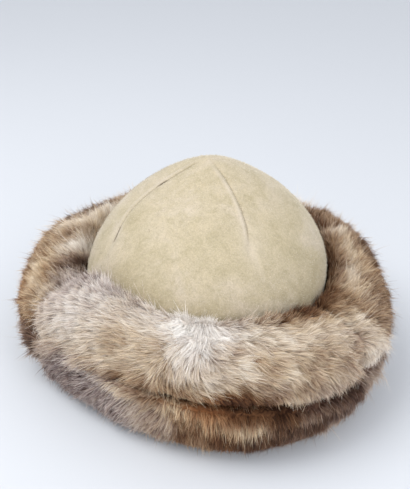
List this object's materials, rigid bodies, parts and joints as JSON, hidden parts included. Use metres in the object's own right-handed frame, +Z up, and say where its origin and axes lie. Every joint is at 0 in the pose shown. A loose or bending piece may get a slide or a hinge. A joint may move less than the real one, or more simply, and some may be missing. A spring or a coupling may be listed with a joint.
{
  "type": "fur-cuffed suede dome hat",
  "caption": "Pale suede dome hat closed by darts from its apex, with a deep rolled fur cuff of sewn pelts over a brown fur band all round.",
  "frame": {"origin": "on the surface that the hat rests on, under the middle of its outline seen from above", "axes": "+Z up through the crown, -Y towards the wearer's front, +X towards the wearer's left"},
  "size_m": [0.2916, 0.2882, 0.161],
  "materials": {
    "suede": "matte nap",
    "cream_fur": "deep soft hair",
    "golden_fur": "deep soft hair",
    "brown_fur": "deep soft hair"
  },
  "bodies": {
    "root": {"crown": "suede", "lower_band": "brown_fur", "front_pelt": "cream_fur", "right_pelt": "cream_fur", "back_pelt": "golden_fur", "left_pelt": "golden_fur"}
  },
  "joints": []
}
